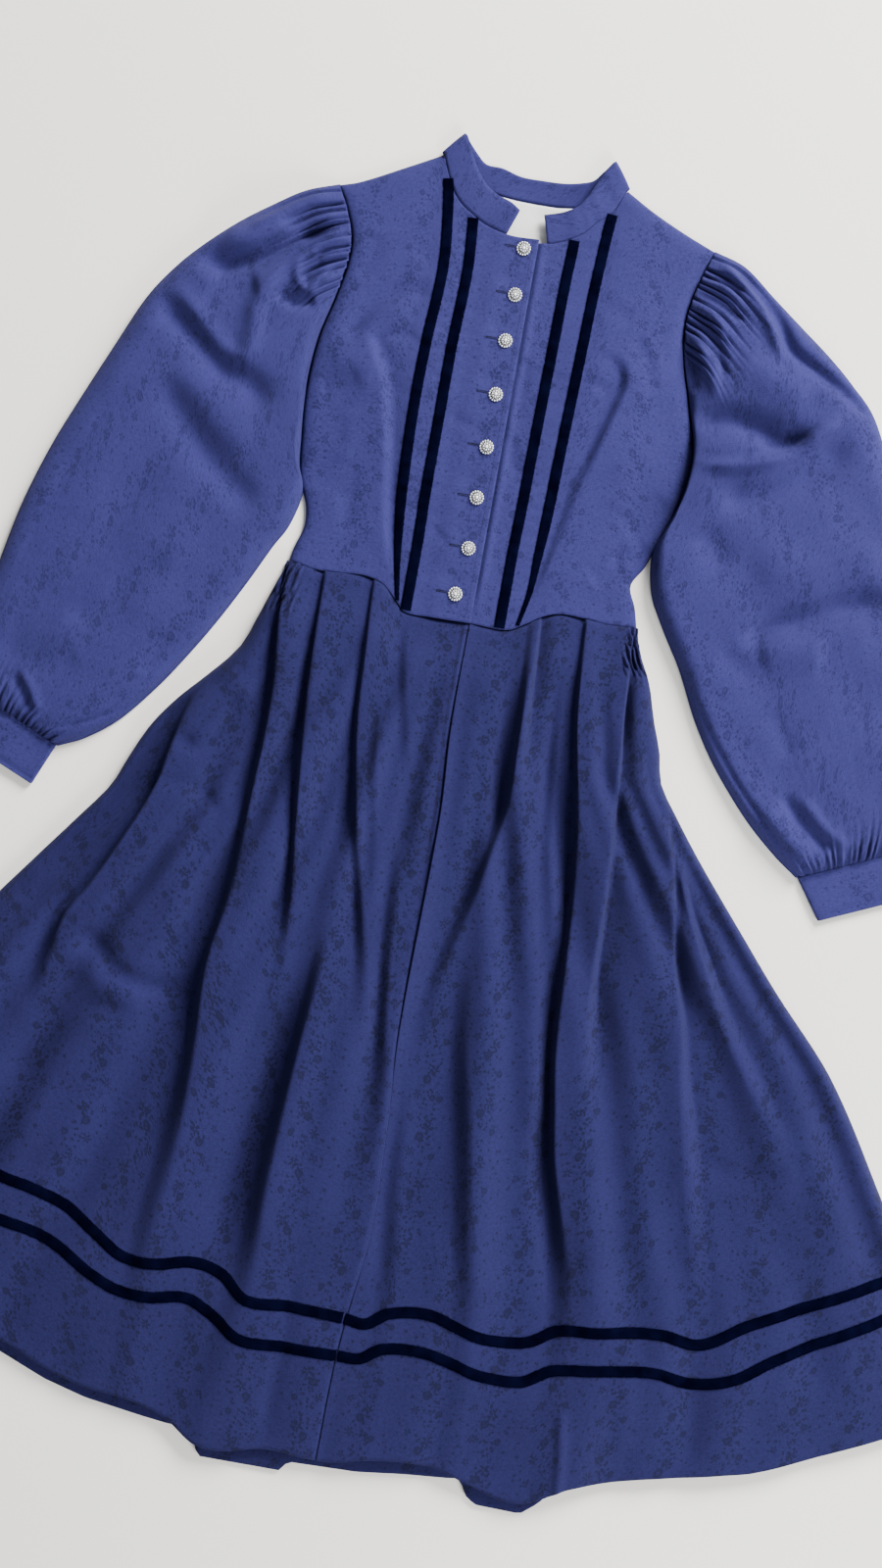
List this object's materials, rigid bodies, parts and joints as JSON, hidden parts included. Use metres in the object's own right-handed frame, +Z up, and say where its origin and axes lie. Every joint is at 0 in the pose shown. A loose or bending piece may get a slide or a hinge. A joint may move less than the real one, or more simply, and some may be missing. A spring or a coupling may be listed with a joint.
{
  "type": "dirndl dress laid flat",
  "caption": "long-sleeved dirndl laid flat face up, with stand collar, buttoned bodice, velvet ribbons, full gathered sleeves and pleated flared skirt",
  "frame": {"origin": "on the surface the dress lies on, at the waist of the centre front; it is a point of the flat underside", "axes": "+Y up the centre front to the neck, +X to the wearer's left, +Z up off the surface"},
  "size_m": [1.226, 1.3173, 0.026],
  "materials": {
    "cloth": "blue wool-blend jacquard with small tone-on-tone roses and dots",
    "velvet": "black velvet ribbon with a soft pile",
    "lining": "white plain-weave cotton",
    "metal": "silver filigree with clear stones"
  },
  "bodies": {
    "root": {"bodice_front_right": "cloth", "bodice_front_left": "cloth", "bodice_back": "cloth", "lining_back": "lining", "collar": "cloth", "sleeve_right_upper": "cloth", "sleeve_right_under": "cloth", "sleeve_left_upper": "cloth", "sleeve_left_under": "cloth", "cuff_right": "cloth", "cuff_left": "cloth", "skirt_front_right": "cloth", "skirt_front_left": "cloth", "skirt_back": "cloth", "ribbon_right_inner": "velvet", "ribbon_right_outer": "velvet", "ribbon_left_inner": "velvet", "ribbon_left_outer": "velvet", "hem_ribbon_upper_right": "velvet", "hem_ribbon_lower_right": "velvet", "hem_ribbon_upper_left": "velvet", "hem_ribbon_lower_left": "velvet", "button_1": "metal", "button_2": "metal", "button_3": "metal", "button_4": "metal", "button_5": "metal", "button_6": "metal", "button_7": "metal", "button_8": "metal"}
  },
  "joints": []
}
